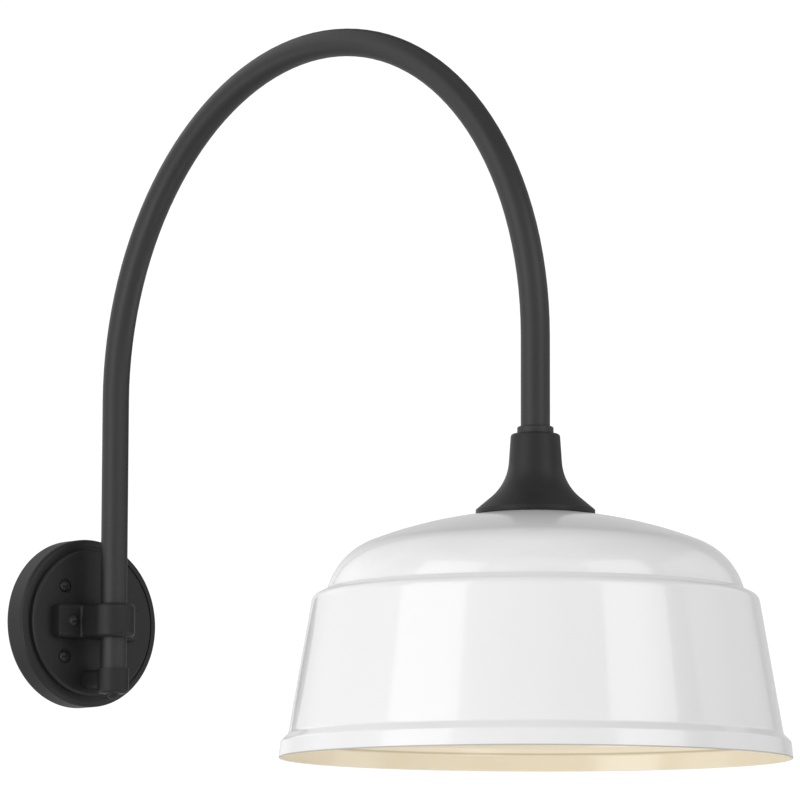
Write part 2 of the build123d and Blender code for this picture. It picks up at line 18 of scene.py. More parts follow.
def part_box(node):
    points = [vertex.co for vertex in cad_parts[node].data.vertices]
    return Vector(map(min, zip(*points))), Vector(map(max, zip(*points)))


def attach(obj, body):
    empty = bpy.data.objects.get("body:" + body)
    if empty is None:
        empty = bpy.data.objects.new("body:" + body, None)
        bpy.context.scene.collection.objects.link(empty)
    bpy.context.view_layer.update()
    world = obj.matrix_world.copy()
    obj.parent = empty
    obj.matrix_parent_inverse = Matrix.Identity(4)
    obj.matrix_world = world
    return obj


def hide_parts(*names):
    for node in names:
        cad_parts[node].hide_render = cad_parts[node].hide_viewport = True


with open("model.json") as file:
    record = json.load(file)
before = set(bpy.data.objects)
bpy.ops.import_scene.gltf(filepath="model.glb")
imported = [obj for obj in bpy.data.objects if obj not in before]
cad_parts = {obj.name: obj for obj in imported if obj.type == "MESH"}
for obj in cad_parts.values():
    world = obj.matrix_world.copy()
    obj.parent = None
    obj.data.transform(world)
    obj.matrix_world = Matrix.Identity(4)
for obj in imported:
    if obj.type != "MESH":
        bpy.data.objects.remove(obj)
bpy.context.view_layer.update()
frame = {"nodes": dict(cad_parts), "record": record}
MM = 0.001
UP = Vector((0, 0, 1))
log = logging.getLogger("barn_light")

Colour = tuple[float, float, float]
Stretch = tuple[float, float, float]
Number = Union[float, "Socket"]

# Numbers of the Mix node's sockets when it mixes colours
MIX_FACTOR, MIX_A, MIX_B, MIX_RESULT = 0, 6, 7, 2
# Share of its strength that noise keeps from one octave to the next finer one
NOISE_ROUGHNESS = 0.55


class Body(str, Enum):
    """The bodies that move apart from each other."""

    WALL_MOUNT = "wall_mount"
    ARM = "arm"
    BULB = "bulb"


class Slot(str, Enum):
    """The record's material slots."""

    BLACK_PAINT = "black_paint"
    WHITE_ENAMEL = "white_enamel"
    BLACK_RUBBER = "black_rubber"
    ZINC_STEEL = "zinc_steel"
    EARTH_GREEN = "earth_green"
    NYLON = "nylon"
    TERMINAL_PLASTIC = "terminal_plastic"
    CABLE_SHEATH = "cable_sheath"
    PORCELAIN = "porcelain"
    BRASS = "brass"
    CAP_STEEL = "cap_steel"
    FROSTED_GLASS = "frosted_glass"
    BULB_ALUMINIUM = "bulb_aluminium"
    DARK_GLASS = "dark_glass"


class ShadeCoat(IntEnum):
    """The shade's finishes, by their place among its materials."""

    OUTSIDE = 0
    INSIDE = 1
    # Grey painted shade on the rim's rounded outer edge
    LIP = 2


class Socket:
    """An output socket that takes part in Python expressions, each of which adds a Math node."""

    def __init__(self, graph: "Graph", output: bpy.types.NodeSocket | None) -> None:
        """Wrap an output socket.

        Args:
            graph: The node tree that the socket belongs to.
            output: The socket itself, or None for a node that ends the tree.
        """
        self.graph = graph
        self.output = output

    def _math(self, operation: str, left: Number, right: Number) -> "Socket":
        """Join two values with one Math node.

        Args:
            operation: The Math node's operation.
            left: First value.
            right: Second value.

        Returns:
            The result's socket.
        """
        return self.graph.add("ShaderNodeMath", {"operation": operation}, {0: left, 1: right})

    def __add__(self, other: Number) -> "Socket":
        """This plus another value."""
        return self._math("ADD", self, other)

    def __radd__(self, other: Number) -> "Socket":
        """Another value plus this."""
        return self._math("ADD", other, self)

    def __sub__(self, other: Number) -> "Socket":
        """This minus another value."""
        return self._math("SUBTRACT", self, other)

    def __rsub__(self, other: Number) -> "Socket":
        """Another value minus this."""
        return self._math("SUBTRACT", other, self)

    def __mul__(self, other: Number) -> "Socket":
        """This times another value."""
        return self._math("MULTIPLY", self, other)

    def __rmul__(self, other: Number) -> "Socket":
        """Another value times this."""
        return self._math("MULTIPLY", other, self)


class Graph:
    """The node tree of one material or world, laid by code."""

    def __init__(self, tree: bpy.types.NodeTree) -> None:
        """Start from an empty tree.

        Args:
            tree: The tree to lay nodes in.
        """
        self.tree = tree
        tree.nodes.clear()

    def add(
        self,
        kind: str,
        settings: dict[str, Any] | None = None,
        inputs: dict[str | int, Any] | None = None,
        output: str | int = 0,
    ) -> Socket:
        """Add one node, set it up and link it.

        Args:
            kind: The node's type.
            settings: Attributes of the node, set first.
            inputs: Numbers, colours or sockets by the input's name or number.
            output: Name or number of the output that is handed back.

        Returns:
            The chosen output.
        """
        node = self.tree.nodes.new(kind)
        for name, value in (settings or {}).items():
            setattr(node, name, value)
        for name, value in (inputs or {}).items():
            if isinstance(value, Socket):
                self.tree.links.new(value.output, node.inputs[name])
            else:
                node.inputs[name].default_value = value
        return Socket(self, node.outputs[output] if node.outputs else None)

    def place(self) -> Socket:
        """Object coordinates, in metres."""
        return self.add("ShaderNodeTexCoord", output="Object")

    def noise(self, size: float, detail: float = 2.0, stretch: Stretch = (1.0, 1.0, 1.0)) -> Socket:
        """Noise on Object coordinates.

        Args:
            size: Length of one feature, in metres.
            detail: Octaves of finer noise.
            stretch: Factor on each axis; a small one draws the noise out along that axis.

        Returns:
            The noise's value, from 0 to 1.
        """
        mapped = self.add("ShaderNodeMapping", inputs={"Vector": self.place(), "Scale": stretch})
        inputs = {"Vector": mapped, "Scale": 1 / size, "Detail": detail, "Roughness": NOISE_ROUGHNESS}
        return self.add("ShaderNodeTexNoise", inputs=inputs)

    def ease(self, value: Socket, start: float, end: float, first: float = 0.0, last: float = 1.0) -> Socket:
        """Pass smoothly from one result to another.

        Args:
            value: The value that decides.
            start: Value at which the passage starts.
            end: Value at which it ends.
            first: Result at the start.
            last: Result at the end.

        Returns:
            The result.
        """
        inputs = {"Value": value, "From Min": start, "From Max": end, "To Min": first, "To Max": last}
        return self.add("ShaderNodeMapRange", {"interpolation_type": "SMOOTHSTEP"}, inputs)

    def blend(self, share: Number, low: Union[Colour, Socket], high: Colour) -> Socket:
        """Mix two colours.

        Args:
            share: 0 for the first colour, 1 for the second.
            low: First colour, or the socket that gives it.
            high: Second colour.

        Returns:
            The mixed colour.
        """
        first = low if isinstance(low, Socket) else (*low, 1.0)
        inputs = {MIX_FACTOR: share, MIX_A: first, MIX_B: (*high, 1.0)}
        return self.add("ShaderNodeMix", {"data_type": "RGBA"}, inputs, output=MIX_RESULT)

    def bump(self, height: Number, depth: float, strength: float) -> Socket:
        """Turn a height into a surface normal.

        Args:
            height: Height from 0 to 1.
            depth: Height of 1 in metres.
            strength: How much of the bump shows.

        Returns:
            The normal.
        """
        inputs = {"Height": height, "Distance": depth, "Strength": strength}
        return self.add("ShaderNodeBump", inputs=inputs, output="Normal")

    def surface(self, inputs: dict[str, Any]) -> None:
        """End the tree in one principled shader.

        Args:
            inputs: Values or sockets by the shader's input names.
        """
        shader = self.add("ShaderNodeBsdfPrincipled", inputs=inputs)
        self.add("ShaderNodeOutputMaterial", inputs={"Surface": shader})


def grey(value: float) -> Colour:
    """A grey of one value in every channel."""
    return (value, value, value)


def scaled(colour: Colour, factor: float) -> Colour:
    """A colour scaled towards or away from black, at most white."""
    return tuple(min(1.0, channel * factor) for channel in colour)


@dataclass(frozen=True)
class Finish:
    """What every finish has: a name, a colour, a roughness, and how far its tone and sheen stray."""

    name: str
    colour: Colour
    roughness: float = 0.5
    darkest: ClassVar[float] = 1.0
    lightest: ClassVar[float] = 1.0
    sheen_stray: ClassVar[float] = 0.0
    bump_strength: ClassVar[float] = 0.5

    def lay(self, graph: Graph) -> None:
        """Lay the finish's nodes; each kind of finish does this its own way."""
        raise NotImplementedError

    def tone(self, graph: Graph, share: Socket) -> Socket:
        """The colour, from its darkest tone at a share of 0 to its lightest at 1."""
        return graph.blend(share, scaled(self.colour, self.darkest), scaled(self.colour, self.lightest))

    def sheen(self, share: Socket) -> Socket:
        """The roughness, lowest at a share of 0 and highest at 1."""
        return self.roughness - self.sheen_stray + 2 * self.sheen_stray * share

    def material(self) -> bpy.types.Material:
        """Make the material, or hand back the one that exists.

        Returns:
            The finish's material.
        """
        made = bpy.data.materials.get(self.name)
        if made is None:
            made = bpy.data.materials.new(self.name)
            made.use_nodes = True
            self.lay(Graph(made.node_tree))
        return made


@dataclass(frozen=True)
class PowderCoat(Finish):
    """Matt powder coat: fine grain, with a slow drift in tone and sheen."""

    gloss: float = 0.5
    grain: float = 1.1 * MM
    grain_depth: float = 0.07 * MM
    drift: float = 45 * MM
    drift_share: float = 0.7
    darkest = 0.8
    lightest = 1.2
    sheen_stray = 0.06
    bump_strength = 0.6

    def lay(self, graph: Graph) -> None:
        """Lay grain as bump, and drift in colour and roughness.

        Args:
            graph: The material's nodes.
        """
        grain = graph.noise(self.grain, detail=3.0)
        drift = graph.noise(self.drift)
        graph.surface(
            {
                "Base Color": self.tone(graph, self.drift_share * drift + (1 - self.drift_share) * grain),
                "Roughness": self.sheen(drift),
                "Specular IOR Level": self.gloss,
                "Normal": graph.bump(grain, self.grain_depth, self.bump_strength),
            }
        )


@dataclass(frozen=True)
class Enamel(Finish):
    """Gloss enamel under a clear top layer, with a faint ripple from the spray."""

    roughness: float = 0.3
    gloss: float = 0.25
    coat: float = 0.55
    coat_roughness: float = 0.09
    coat_ior: float = 2.0
    ripple: float = 9 * MM
    ripple_depth: float = 0.01 * MM
    drift: float = 108 * MM
    darkest = 0.985
    lightest = 1.01
    sheen_stray = 0.03

    def lay(self, graph: Graph) -> None:
        """Lay ripple as bump, and a slow drift in tone.

        Args:
            graph: The material's nodes.
        """
        ripple = graph.noise(self.ripple, detail=1.0)
        graph.surface(
            {
                "Base Color": self.tone(graph, graph.noise(self.drift)),
                "Roughness": self.sheen(ripple),
                "Specular IOR Level": self.gloss,
                "Coat Weight": self.coat,
                "Coat Roughness": self.coat_roughness,
                "Coat IOR": self.coat_ior,
                "Normal": graph.bump(ripple, self.ripple_depth, self.bump_strength),
            }
        )


@dataclass(frozen=True)
class ShadeLineEnamel(Enamel):
    """Enamel with a thin darker line at one height: painted shade in the concave corner of a spun step."""

    shade_line_z: float = 0.0
    shade_line_reach: float = 1.2 * MM
    shade_line_colour: Colour = (0.66, 0.55, 0.37)

    def tone(self, graph: Graph, share: Socket) -> Socket:
        """Lay the painted shade line over the enamel's colour.

        Args:
            graph: The material's nodes.
            share: Slow noise, from 0 to 1.

        Returns:
            The colour with its painted shade line.
        """
        # Darker colour in a soft band round one height: painted shade in the step's corner
        height = graph.add("ShaderNodeSeparateXYZ", inputs={0: graph.place()}, output="Z")
        off = graph.add("ShaderNodeMath", {"operation": "ABSOLUTE"}, {0: height - self.shade_line_z})
        line = graph.ease(off, 0.0, self.shade_line_reach, first=1.0, last=0.0)
        return graph.blend(line, super().tone(graph, share), self.shade_line_colour)


@dataclass(frozen=True)
class Metal(Finish):
    """Bare or plated metal with fine tool lines and a patchy tone."""

    roughness: float = 0.3
    line: float = 0.25 * MM
    line_depth: float = 0.004 * MM
    line_stretch: Stretch = (0.02, 0.02, 1.0)
    patch: float = 6 * MM
    darkest = 0.75
    sheen_stray = 0.08
    bump_strength = 0.4

    def lay(self, graph: Graph) -> None:
        """Lay lines round the upright axis as bump, and patches in colour and roughness.

        Args:
            graph: The material's nodes.
        """
        lines = graph.noise(self.line, stretch=self.line_stretch)
        patches = graph.noise(self.patch, detail=4.0)
        graph.surface(
            {
                "Base Color": self.tone(graph, patches),
                "Metallic": 1.0,
                "Roughness": self.sheen(patches),
                "Normal": graph.bump(lines, self.line_depth, self.bump_strength),
            }
        )


@dataclass(frozen=True)
class Moulded(Finish):
    """Moulded plastic or rubber with a fine spark texture."""

    roughness: float = 0.45
    spark: float = 0.5 * MM
    spark_depth: float = 0.02 * MM
    drift: float = 20 * MM
    darkest = 0.9
    lightest = 1.08
    sheen_stray = 0.05

    def lay(self, graph: Graph) -> None:
        """Lay the texture as bump, and a slight drift in tone.

        Args:
            graph: The material's nodes.
        """
        spark = graph.noise(self.spark, detail=3.0)
        graph.surface(
            {
                "Base Color": self.tone(graph, graph.noise(self.drift)),
                "Roughness": self.sheen(spark),
                "Normal": graph.bump(spark, self.spark_depth, self.bump_strength),
            }
        )


@dataclass(frozen=True)
class Glaze(Finish):
    """Fired glaze or glass: a glossy layer over a body with a few pale specks."""

    roughness: float = 0.4
    coat: float = 0.9
    coat_roughness: float = 0.04
    wave: float = 5 * MM
    wave_depth: float = 0.02 * MM
    speck: float = 0.625 * MM
    darkest = 0.95
    lightest = 1.04
    sheen_stray = 0.04
    bump_strength = 0.3

    def lay(self, graph: Graph) -> None:
        """Lay slow waves as bump, and specks in colour and roughness.

        Args:
            graph: The material's nodes.
        """
        waves = graph.noise(self.wave, detail=1.0)
        specks = graph.noise(self.speck, detail=4.0)
        graph.surface(
            {
                "Base Color": self.tone(graph, specks),
                "Roughness": self.sheen(specks),
                "Coat Weight": self.coat,
                "Coat Roughness": self.coat_roughness,
                "Normal": graph.bump(waves, self.wave_depth, self.bump_strength),
            }
        )


@dataclass(frozen=True)
class PaleFloor(Finish):
    """Plain pale floor, dull all over."""

    roughness: float = 0.9

    def lay(self, graph: Graph) -> None:
        """Lay one even tone."""
        graph.surface({"Base Color": (*self.colour, 1.0), "Roughness": self.roughness})


TUBE_BLACK = PowderCoat("satin_black_tube_coat", grey(0.013), roughness=0.45)
CAST_BLACK = PowderCoat("matt_black_casting_coat", grey(0.011), roughness=0.45, gloss=0.32)
WHITE_ENAMEL = Enamel("gloss_white_enamel", grey(0.775))
# Grey for the rim's rounded outer edge: painted shade where the edge turns down
LIP_PAINTED_SHADE = Enamel("grey_lip_painted_shade", grey(0.46), roughness=0.4, coat=0.3)
PALE_FLOOR = PaleFloor("pale_floor", grey(0.95))

FINISHES: dict[Slot, Finish] = {
    Slot.BLACK_PAINT: CAST_BLACK,
    Slot.WHITE_ENAMEL: WHITE_ENAMEL,
    Slot.BLACK_RUBBER: Moulded("black_rubber", grey(0.025), roughness=0.75),
    Slot.ZINC_STEEL: Metal("zinc_plated_steel", (0.62, 0.63, 0.64), roughness=0.34),
    Slot.EARTH_GREEN: PowderCoat("green_dyed_steel", (0.04, 0.26, 0.09), roughness=0.35),
    Slot.NYLON: Moulded("black_nylon", grey(0.05)),
    Slot.TERMINAL_PLASTIC: Moulded("white_terminal_plastic", (0.8, 0.79, 0.74), roughness=0.35),
    Slot.CABLE_SHEATH: Moulded("cable_sheath", grey(0.04), roughness=0.55),
    Slot.PORCELAIN: Glaze("glazed_porcelain", (0.86, 0.85, 0.8)),
    Slot.BRASS: Metal("brass", (0.78, 0.56, 0.26), roughness=0.28),
    Slot.CAP_STEEL: Metal("satin_cap_steel", (0.68, 0.68, 0.67), roughness=0.36),
    Slot.FROSTED_GLASS: Glaze(
        "frosted_bulb_glass", (0.9, 0.89, 0.86), roughness=0.5, coat=0.4, coat_roughness=0.25
    ),
    Slot.BULB_ALUMINIUM: Metal("pressed_aluminium", (0.8, 0.8, 0.79), roughness=0.3),
    Slot.DARK_GLASS: Glaze("dark_vitreous_glass", (0.02, 0.018, 0.02)),
}

SLOT_OF: dict[str, Slot] = {row["node"]: Slot(row["material_slot"]) for row in frame["record"]["subparts"]}


def arc(centre: Vector, radius: float, start: float, end: float, steps: int) -> list[Vector]:
    """Points along an arc.

    Args:
        centre: Centre of the arc.
        radius: Its radius.
        start: Angle of the first point, in radians from the first axis.
        end: Angle of the last point.
        steps: Number of chords.

    Returns:
        The points, both ends included.
    """
    angles = [start + (end - start) * step / steps for step in range(steps + 1)]
    return [centre + radius * Vector((math.cos(angle), math.sin(angle))) for angle in angles]


def rounded_corner(
    before: Vector, corner: Vector, after: Vector, radius: float, steps: int
) -> list[Vector]:
    """Points of an arc that rounds a corner between two runs.

    Args:
        before: A point on the first run.
        corner: The corner.
        after: A point on the second run.
        radius: Radius of the arc.
        steps: Number of chords.

    Returns:
        The arc's points, from the first run to the second.
    """
    back = (before - corner).normalized()
    ahead = (after - corner).normalized()
    half = back.angle(ahead) / 2
    centre = corner + (back + ahead).normalized() * (radius / math.sin(half))
    first = corner + back * (radius / math.tan(half)) - centre
    turn = (math.pi - 2 * half) * math.copysign(1.0, first.x * ahead.y - first.y * ahead.x)
    start = math.atan2(first.y, first.x)
    return arc(centre, radius, start, start + turn, steps)


def run(start: Vector, end: Vector, pitch: float, guard: float) -> list[Vector]:
    """Points inside a straight run, with a guard point near each end to keep the shading flat.

    Args:
        start: First end, not included.
        end: Second end, not included.
        pitch: Longest gap between points.
        guard: Distance of the guard points from the ends.

    Returns:
        The points between the two ends.
    """
    length = (end - start).length
    count = max(1, math.ceil((length - 2 * guard) / pitch))
    places = [guard + (length - 2 * guard) * step / count for step in range(count + 1)]
    return [start.lerp(end, place / length) for place in places]


def direction(azimuth: float, elevation: float) -> Vector:
    """Unit vector from the object towards a viewing angle.

    Args:
        azimuth: Degrees round the object; 0 stands in front of the wall, on -Y.
        elevation: Degrees above the horizon.

    Returns:
        The direction.
    """
    turn, rise = math.radians(azimuth), math.radians(elevation)
    return Vector((math.sin(turn) * math.cos(rise), -math.cos(turn) * math.cos(rise), math.sin(rise)))


def looking(target: Vector, azimuth: float, elevation: float, distance: float) -> Matrix:
    """Place of a camera or light that looks at a point.

    Args:
        target: The point.
        azimuth: Degrees round the point; 0 stands in front of the wall.
        elevation: Degrees above the horizon.
        distance: Distance from the point.

    Returns:
        The world matrix.
    """
    back = direction(azimuth, elevation)
    turned = back.to_track_quat("Z", "Y").to_matrix().to_4x4()
    return Matrix.Translation(target + back * distance) @ turned


def axis_of(node: str) -> Vector:
    """Foot of a node's own upright axis, at height 0.

    Args:
        node: The node's name.

    Returns:
        The middle of its box, seen from above.
    """
    low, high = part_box(node)
    return ((low + high) / 2).to_2d().to_3d()


def spun(
    points: list[Vector], axis: Vector, steps: int, merge: float, turns: int = 1, rise: float = 0.0
) -> bmesh.types.BMesh:
    """Turn a line of points about an upright axis.

    Args:
        points: Radius and height of each point.
        axis: Foot of the axis.
        steps: Steps in one turn.
        merge: Points nearer than this become one.
        turns: Number of whole turns.
        rise: Height that one turn gains; a spin without rise closes on itself.

    Returns:
        The swept sheet.
    """
    shape = bmesh.new()
    line = [shape.verts.new(axis + Vector((point.x, 0, point.y))) for point in points]
    wire = [shape.edges.new(ends) for ends in zip(line, line[1:])]
    bmesh.ops.spin(
        shape,
        geom=line + wire,
        cent=axis,
        axis=UP,
        dvec=UP * (rise / steps),
        angle=math.tau * turns,
        steps=steps * turns,
        use_merge=rise == 0,
    )
    bmesh.ops.remove_doubles(shape, verts=shape.verts, dist=merge)
    return shape


def piece(name: str, shape: bmesh.types.BMesh, finishes: Iterable[Finish]) -> bpy.types.Object:
    """Make a bmesh a smooth-shaded object at the origin.

    Args:
        name: The object's name.
        shape: The bmesh, which is used up.
        finishes: The finishes of its material slots, in order.

    Returns:
        The object.
    """
    mesh = bpy.data.meshes.new(name)
    for face in shape.faces:
        face.smooth = True
    shape.to_mesh(mesh)
    shape.free()
    for finish in finishes:
        mesh.materials.append(finish.material())
    made = bpy.data.objects.new(name, mesh)
    bpy.context.scene.collection.objects.link(made)
    return made


class SubAssembly:
    """Nodes that belong together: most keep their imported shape, some get a piece in their place."""

    body: ClassVar[Body]
    nodes: ClassVar[tuple[str, ...]]
    own_finishes: ClassVar[dict[str, Finish]] = {}

    def build(self) -> list[bpy.types.Object]:
        """Build the pieces that stand in for nodes; by default there are none."""
        return []

    def dress(self) -> None:
        """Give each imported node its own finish, or else its slot's."""
        for name in self.nodes:
            finish = self.own_finishes.get(name, FINISHES[SLOT_OF[name]])
            for slot in frame["nodes"][name].material_slots:
                slot.material = finish.material()

    def stand_in(self, made: bpy.types.Object, node: str) -> bpy.types.Object:
        """Let a piece take a node's place.

        Args:
            made: The piece.
            node: The node that it stands for.

        Returns:
            The piece.
        """
        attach(made, self.body.value)
        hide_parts(node)
        return made


class WallMount(SubAssembly):
    """Wall plate, saddle, foot and what they hold inside."""

    body = Body.WALL_MOUNT
    nodes = (
        "wall_gasket",
        "mounting_plate",
        "backplate",
        "plate_screws",
        "earth_screw",
        "terminal_block",
        "terminal_screws",
        "plate_cable",
        "saddle",
        "saddle_bush",
        "saddle_screws",
        "saddle_nuts",
        "foot",
        "foot_nut",
        "foot_plug",
        "thrust_washer",
    )


class Gooseneck(SubAssembly):
    """The bent tube, its cable and the neck at its end."""

    body = Body.ARM
    nodes = ("arm_tube", "arm_cable", "lock_ring", "neck")
    own_finishes = {"arm_tube": TUBE_BLACK, "lock_ring": TUBE_BLACK}


class LampHolder(SubAssembly):
    """Porcelain holder under its metal cap."""

    body = Body.ARM
    nodes = ("holder_cap", "holder_body", "holder_shell", "holder_contact", "holder_terminals")


@dataclass
class Shade(SubAssembly):
    """The spun bell shade, white outside and cream inside, and what clamps it to the neck.

    Every drop is measured down from the seat, which is the top of the shade.
    """

    body = Body.ARM
    nodes = ("shade", "shade_gasket", "nipple", "shade_washer", "shade_nut")
    wall: float = 1.2 * MM
    hole_d: float = 10.5 * MM
    seat_d: float = 75.4 * MM
    crown_r: float = 296.6 * MM
    crown_angle: float = math.radians(21.2)
    knuckle_r: float = 44.75 * MM
    crease_drop: float = 48.4 * MM
    crease_round: float = 0.4 * MM
    shoulder_d: float = 287.9 * MM
    shoulder_drop: float = 52.9 * MM
    shoulder_round: float = 6.6 * MM
    groove_d: float = 318.4 * MM
    groove_drop: float = 141.7 * MM
    groove_round: float = 3 * MM
    band_d: float = 328.2 * MM
    band_drop: float = 146.4 * MM
    band_round: float = 1.9 * MM
    rim_d: float = 330.4 * MM
    rim_drop: float = 157.1 * MM
    rim_round: float = 0.58 * MM
    # Least angle between the faces at the rim's corners
    rim_fold: float = math.radians(60)
    # Least outward part of the normal of a face in the lip's grey line of painted shade
    lip_lean: float = 0.05
    # Drop of the painted shade line inside the shade, at the corner of its inner step
    shade_line_drop: float = 145.65 * MM
    cream: Colour = (0.96, 0.87, 0.685)
    # Longest gap between points on a straight run, and distance of its guard points from its ends
    pitch: float = 9 * MM
    guard: float = 0.7 * MM
    merge: float = 0.012 * MM
    crown_steps: int = 14
    knuckle_steps: int = 22
    crease_steps: int = 4
    shoulder_steps: int = 8
    bend_steps: int = 5
    rim_steps: int = 3
    spin_steps: int = 192
    axis: Vector = field(init=False)
    seat_z: float = field(init=False)

    def __post_init__(self) -> None:
        """Take the axis and the height of the seat from the frame."""
        self.axis = axis_of("shade")
        self.seat_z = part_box("shade")[1].z

    def outline(self) -> list[Vector]:
        """Points of the outside, from the hole to the rim, as radius and height.

        Returns:
            The points.
        """
        seat_r = self.seat_d / 2
        crown_centre = Vector((0, self.seat_z - math.sqrt(self.crown_r**2 - seat_r**2)))
        crown_start = math.acos(seat_r / self.crown_r)
        lean = math.pi / 2 - self.crown_angle
        along_lean = Vector((math.cos(lean), math.sin(lean)))
        knuckle_centre = crown_centre + along_lean * (self.crown_r - self.knuckle_r)
        crease_angle = math.asin((self.seat_z - self.crease_drop - knuckle_centre.y) / self.knuckle_r)
        crown = arc(crown_centre, self.crown_r, crown_start, lean, self.crown_steps)
        knuckle = arc(knuckle_centre, self.knuckle_r, lean, crease_angle, self.knuckle_steps)
        crease, above_crease = knuckle.pop(), knuckle[-1]
        shoulder = Vector((self.shoulder_d / 2, self.seat_z - self.shoulder_drop))
        groove = Vector((self.groove_d / 2, self.seat_z - self.groove_drop))
        band = Vector((self.band_d / 2, self.seat_z - self.band_drop))
        rim = Vector((self.rim_d / 2, self.seat_z - self.rim_drop))
        crease_arc = rounded_corner(above_crease, crease, shoulder, self.crease_round, self.crease_steps)
        stretches = (
            rounded_corner(crease, shoulder, groove, self.shoulder_round, self.shoulder_steps),
            rounded_corner(shoulder, groove, band, self.groove_round, self.bend_steps),
            rounded_corner(groove, band, rim, self.band_round, self.bend_steps),
            [rim],
        )
        points = [Vector((self.hole_d / 2, self.seat_z)), *crown, *knuckle[1:], *crease_arc]
        for stretch in stretches:
            points += run(points[-1], stretch[0], self.pitch, self.guard)
            points += stretch
        return points

    def build(self) -> list[bpy.types.Object]:
        """Spin the outline, give it its wall, round its rim and lay its finishes.

        Returns:
            The shade's shell.
        """
        shape = spun(self.outline(), self.axis, self.spin_steps, self.merge)
        bmesh.ops.recalc_face_normals(shape, faces=shape.faces)
        outside = shape.faces[:]
        if sum(face.normal.z * face.calc_area() for face in outside) < 0:
            bmesh.ops.reverse_faces(shape, faces=outside)
        bmesh.ops.solidify(shape, geom=outside, thickness=self.wall)
        self._part_coats(shape)
        bmesh.ops.bevel(
            shape,
            geom=[edge for edge in shape.edges if self._on_rim(edge)],
            offset=self.rim_round,
            offset_type="OFFSET",
            segments=self.rim_steps,
            profile=0.5,
            affect="EDGES",
            material=-1,
        )
        self._paint_lip_shade(shape)
        # The inside's cream enamel, with a thin line of painted shade along the corner of its inner step
        cream = ShadeLineEnamel(
            "cream_enamel_with_painted_shade_line",
            self.cream,
            roughness=0.4,
            coat=0.3,
            coat_roughness=0.14,
            shade_line_z=self.seat_z - self.shade_line_drop,
        )
        coats = {ShadeCoat.OUTSIDE: WHITE_ENAMEL, ShadeCoat.INSIDE: cream, ShadeCoat.LIP: LIP_PAINTED_SHADE}
        return [self.stand_in(piece("shade_shell", shape, [coats[coat] for coat in ShadeCoat]), "shade")]

    def _outward(self, face: bmesh.types.BMFace) -> Vector:
        """Level direction from the shade's axis to a face."""
        return (face.calc_center_median() - self.axis).to_2d().normalized().to_3d()

    def _part_coats(self, shape: bmesh.types.BMesh) -> None:
        """Give the faces that look at the axis or down the inside's finish.

        Args:
            shape: The walled shade.
        """
        for face in shape.faces:
            inside = face.normal.dot(self._outward(face) + UP) < 0
            face.material_index = ShadeCoat.INSIDE if inside else ShadeCoat.OUTSIDE

    def _paint_lip_shade(self, shape: bmesh.types.BMesh) -> None:
        """Give the lip's rounded outer edge a thin grey line of painted shade, where the edge turns down.

        Args:
            shape: The shade with its rim rounded.
        """
        top = self.seat_z - self.rim_drop + self.guard
        for face in shape.faces:
            low = max(vert.co.z for vert in face.verts) < top
            if low and face.normal.dot(self._outward(face)) > self.lip_lean:
                face.material_index = ShadeCoat.LIP

    def _on_rim(self, edge: bmesh.types.BMEdge) -> bool:
        """Whether an edge is one of the sheet's two corners at the rim."""
        low = all(vert.co.z < self.seat_z - self.rim_drop + self.wall for vert in edge.verts)
        return low and edge.calc_face_angle(0) > self.rim_fold


@dataclass
class Bulb(SubAssembly):
    """The bulb, whose screw base gets its rolled thread."""

    body = Body.BULB
    nodes = ("bulb_glass", "bulb_base", "bulb_insulator", "bulb_tip")
    thread_pitch: float = 3.63 * MM
    thread_depth: float = 0.9 * MM
    merge: float = 0.018 * MM
    turn_steps: int = 64
    thread_points: int = 10
    # Turns beyond the height of the base, and turns from where the thread starts up to the base
    spare_turns: int = 2
    turns_below: float = 1.5

    def build(self) -> list[bpy.types.Object]:
        """Screw one wave of thread up the base, then trim it to the node's height.

        Returns:
            The threaded base.
        """
        low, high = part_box("bulb_base")
        axis = axis_of("bulb_base")
        wave = self._wave((high.x - low.x) / 2, low.z)
        turns = math.ceil((high.z - low.z) / self.thread_pitch) + self.spare_turns
        shape = spun(wave, axis, self.turn_steps, self.merge, turns, self.thread_pitch)
        for height, outward in ((low.z, -UP), (high.z, UP)):
            cut = bmesh.ops.bisect_plane(
                shape,
                geom=shape.verts[:] + shape.edges[:] + shape.faces[:],
                plane_co=axis + UP * height,
                plane_no=outward,
                clear_outer=True,
            )
            rim = [item for item in cut["geom_cut"] if isinstance(item, bmesh.types.BMEdge)]
            bmesh.ops.edgenet_fill(shape, edges=rim)
        bmesh.ops.recalc_face_normals(shape, faces=shape.faces)
        aluminium = FINISHES[Slot.BULB_ALUMINIUM]
        return [self.stand_in(piece("bulb_screw_base", shape, (aluminium,)), "bulb_base")]

    def _wave(self, crest: float, base_z: float) -> list[Vector]:
        """Radius and height of the points of one thread, started below the base.

        Args:
            crest: Radius of the thread's crest.
            base_z: Height of the base's lower end.

        Returns:
            The points, from one crest to the next.
        """
        points = []
        for step in range(self.thread_points + 1):
            share = step / self.thread_points
            inset = self.thread_depth * (1 - math.cos(math.tau * share)) / 2
            points.append(Vector((crest - inset, base_z + (share - self.turns_below) * self.thread_pitch)))
        return points


@dataclass
class Softbox:
    """A soft rectangular light that looks at the object, its angles in degrees."""

    name: str
    azimuth: float
    elevation: float
    distance: float
    width: float
    height: float
    radiance: float

    def build(self, target: Vector) -> bpy.types.Object:
        """Hang the light and turn it to its target.

        Args:
            target: The point that it looks at.

        Returns:
            The light.
        """
        lamp = bpy.data.lights.new(self.name, "AREA")
        lamp.shape = "RECTANGLE"
        lamp.size = self.width
        lamp.size_y = self.height
        lamp.energy = math.pi * self.width * self.height * self.radiance
        made = bpy.data.objects.new(self.name, lamp)
        made.matrix_world = looking(target, self.azimuth, self.elevation, self.distance)
        made.visible_camera = False
        bpy.context.scene.collection.objects.link(made)
        return made


def low_card(name: str, azimuth: float, radiance: float) -> Softbox:
    """One of the like cards that stand for the light that a studio's floor throws back."""
    return Softbox(name, azimuth, elevation=-18, distance=2.2, width=1.2, height=0.9, radiance=radiance)


